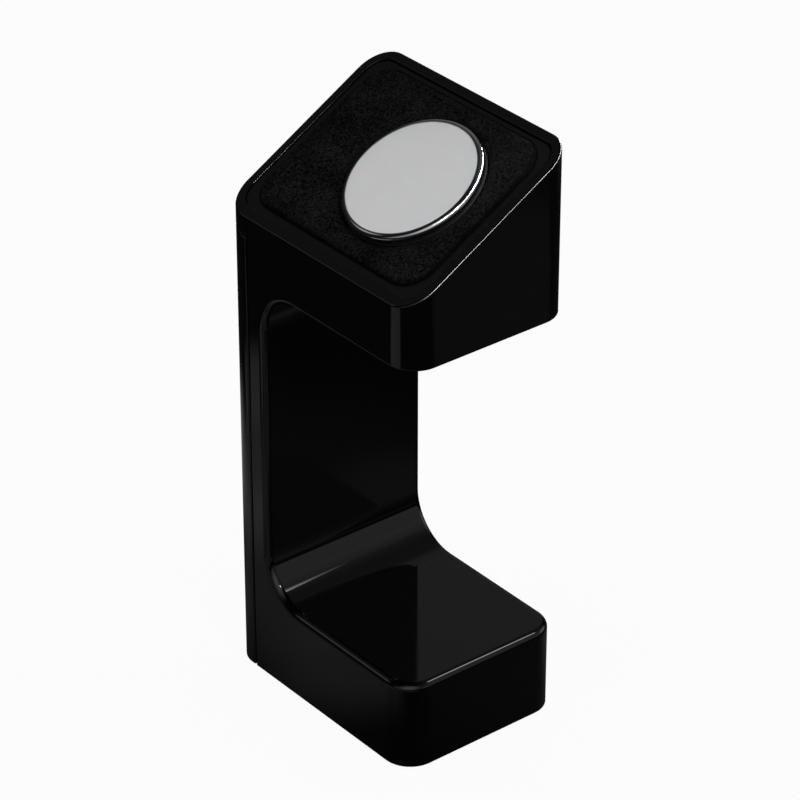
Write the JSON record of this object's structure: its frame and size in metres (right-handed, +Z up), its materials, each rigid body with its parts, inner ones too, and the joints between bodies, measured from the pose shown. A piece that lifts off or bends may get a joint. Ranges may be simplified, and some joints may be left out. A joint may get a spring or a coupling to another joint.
{
  "type": "smartwatch charging dock",
  "caption": "C-shaped desk dock in gloss black plastic: a slanted head carries a soft pad and a round magnetic charging puck above an open gap for the watch strap.",
  "frame": {"origin": "on the table, under the middle of the dock's footprint", "axes": "+Z up; +X from the column towards the free end of the base and head; +Y away from the user, the way the slanted head rises"},
  "size_m": [0.0564, 0.039, 0.1248],
  "materials": {
    "gloss_abs": "gloss black moulded ABS",
    "tray_abs": "black moulded ABS, a little duller than the shell",
    "suede": "black microfibre suede with a short nap",
    "puck_steel": "turned stainless steel, satin side and bright lip",
    "puck_face_plastic": "pale moulded polycarbonate",
    "base_abs": "matt black ABS",
    "foot_rubber": "matt black rubber",
    "ballast_steel": "zinc-plated steel",
    "screw_steel": "zinc-plated steel",
    "coil_copper": "enamelled copper wire",
    "ferrite": "sintered ferrite, dark grey",
    "magnet_nickel": "nickel plating",
    "circuit_board": "green solder mask",
    "chip_epoxy": "black moulding compound",
    "lead_jacket": "black flexible jacket",
    "nylon": "natural nylon",
    "inlet_steel": "drawn stainless steel",
    "tongue_plastic": "black glass-filled nylon"
  },
  "bodies": {
    "root": {"stand_shell": "gloss_abs", "back_cover": "gloss_abs", "base_plate": "base_abs", "foot_pad": "foot_rubber", "ballast_plate": "ballast_steel", "base_screws": "screw_steel", "ballast_screws": "screw_steel", "head_tray": "tray_abs", "tray_screws": "screw_steel", "watch_pad": "suede", "puck_case": "puck_steel", "puck_face": "puck_face_plastic", "charging_coil": "coil_copper", "ferrite_ring": "ferrite", "centre_magnet": "magnet_nickel", "puck_board": "circuit_board", "puck_chips": "chip_epoxy", "puck_back": "base_abs", "puck_retainer": "base_abs", "retainer_screws": "screw_steel", "charging_lead": "lead_jacket", "lead_plug": "nylon", "lead_header": "nylon", "inlet_board": "circuit_board", "board_chips": "chip_epoxy", "board_screws": "screw_steel", "inlet_socket": "inlet_steel", "socket_tongue": "tongue_plastic"}
  },
  "joints": []
}
